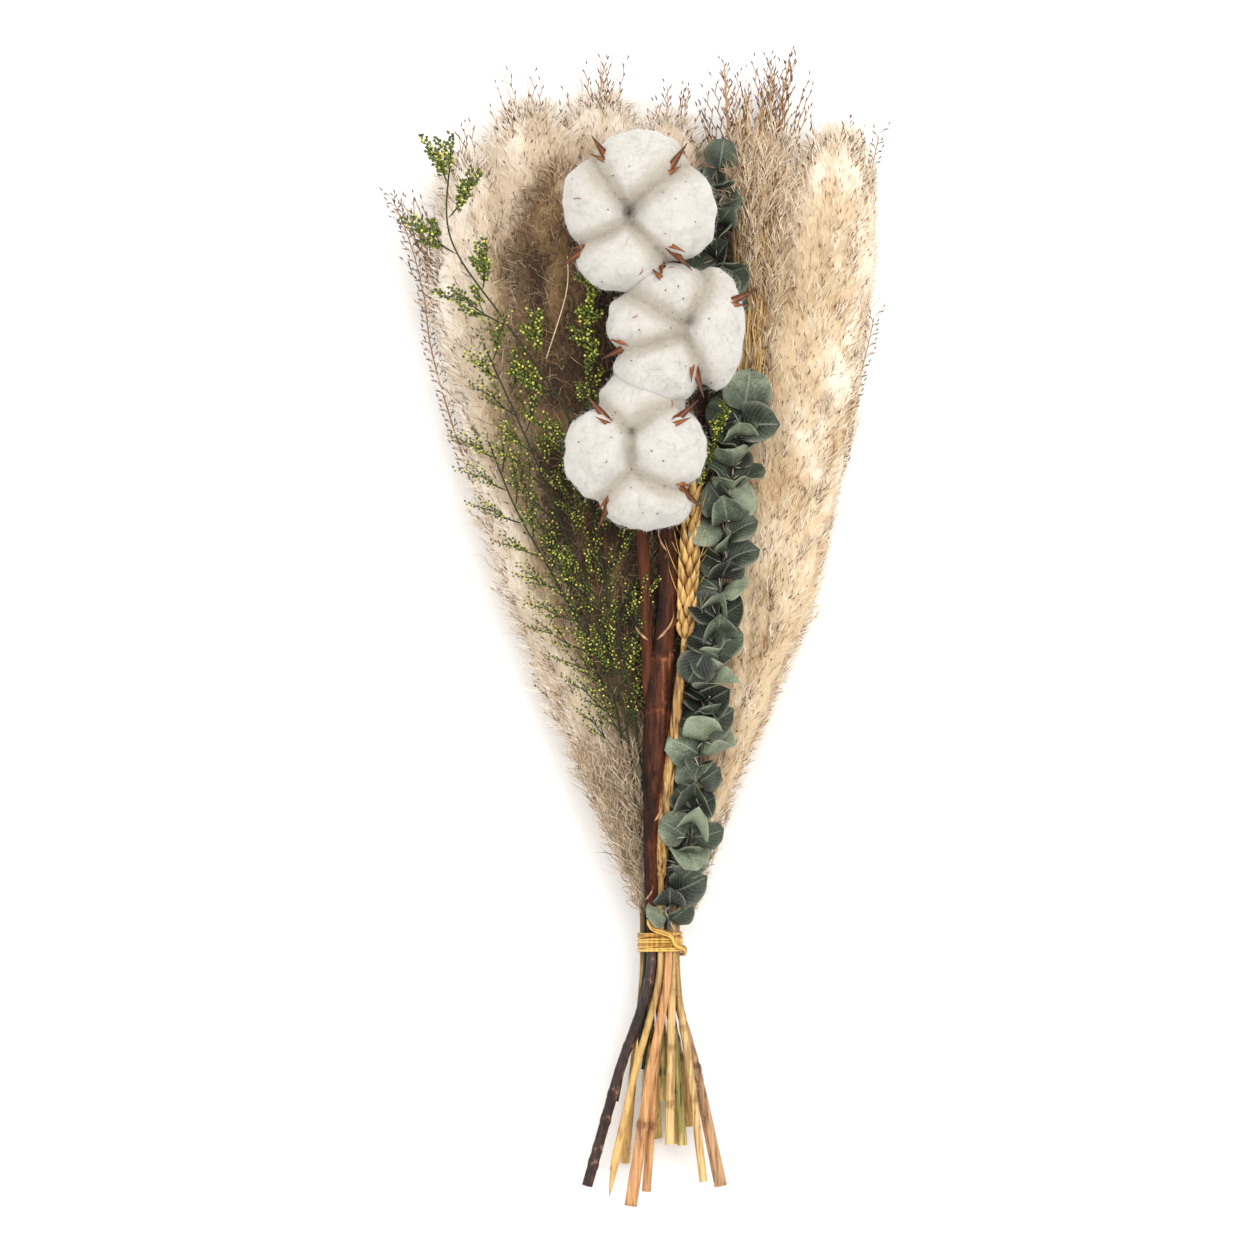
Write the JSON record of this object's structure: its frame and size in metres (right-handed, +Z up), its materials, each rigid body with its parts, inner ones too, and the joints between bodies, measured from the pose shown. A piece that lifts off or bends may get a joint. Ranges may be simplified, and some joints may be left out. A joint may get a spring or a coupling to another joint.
{
  "type": "dried pampas grass bouquet",
  "caption": "Tied bunch of dried pampas and reed plumes with cotton bolls, eucalyptus, wheat and green statice, lying on its back.",
  "frame": {"origin": "on the table, under the middle of the bunch's box", "axes": "+Y along the bunch towards the plume tips, +Z up from the table, +X to the right with the tips at the top"},
  "size_m": [0.1995, 0.4649, 0.0918],
  "materials": {
    "plume_beige": "soft pinkish-beige grass plume, dry and matte",
    "plume_gold": "soft creamy gold grass plume, dry and matte",
    "plume_grey": "soft grey-brown grass plume, dry and matte",
    "straw": "dry straw stalks, golden to pinkish brown, faintly ridged",
    "cotton_lint": "raw white cotton, fuzzy and matte",
    "cotton_wood": "dark red-brown bark and burs, dry",
    "eucalyptus": "preserved blue-green leaves, satin",
    "statice": "dried yellow-green florets on green wiry stems, matte",
    "wheat": "golden dry straw and grain, matte",
    "raffia": "golden dry raffia strand, slightly glossy"
  },
  "bodies": {
    "root": {"plume_left_edge": "plume_beige", "plume_left": "plume_beige", "plume_top_left": "plume_beige", "plume_grey": "plume_grey", "plume_centre": "plume_beige", "plume_top": "plume_beige", "plume_stalked": "plume_grey", "plume_tall_right": "plume_beige", "plume_right": "plume_gold", "plume_right_edge": "plume_gold", "stalk_left_edge": "straw", "stalk_left": "straw", "stalk_top_left": "straw", "stalk_grey": "straw", "stalk_centre": "straw", "stalk_top": "straw", "stalk_stalked": "straw", "stalk_tall_right": "straw", "stalk_right": "straw", "stalk_right_edge": "straw", "cotton": "cotton_wood", "lint_top": "cotton_lint", "lint_middle": "cotton_lint", "lint_bottom": "cotton_lint", "eucalyptus_front": "eucalyptus", "eucalyptus_back": "eucalyptus", "statice_lower": "statice", "statice_middle": "statice", "statice_upper": "statice", "wheat": "wheat", "raffia_tie": "raffia"}
  },
  "joints": []
}
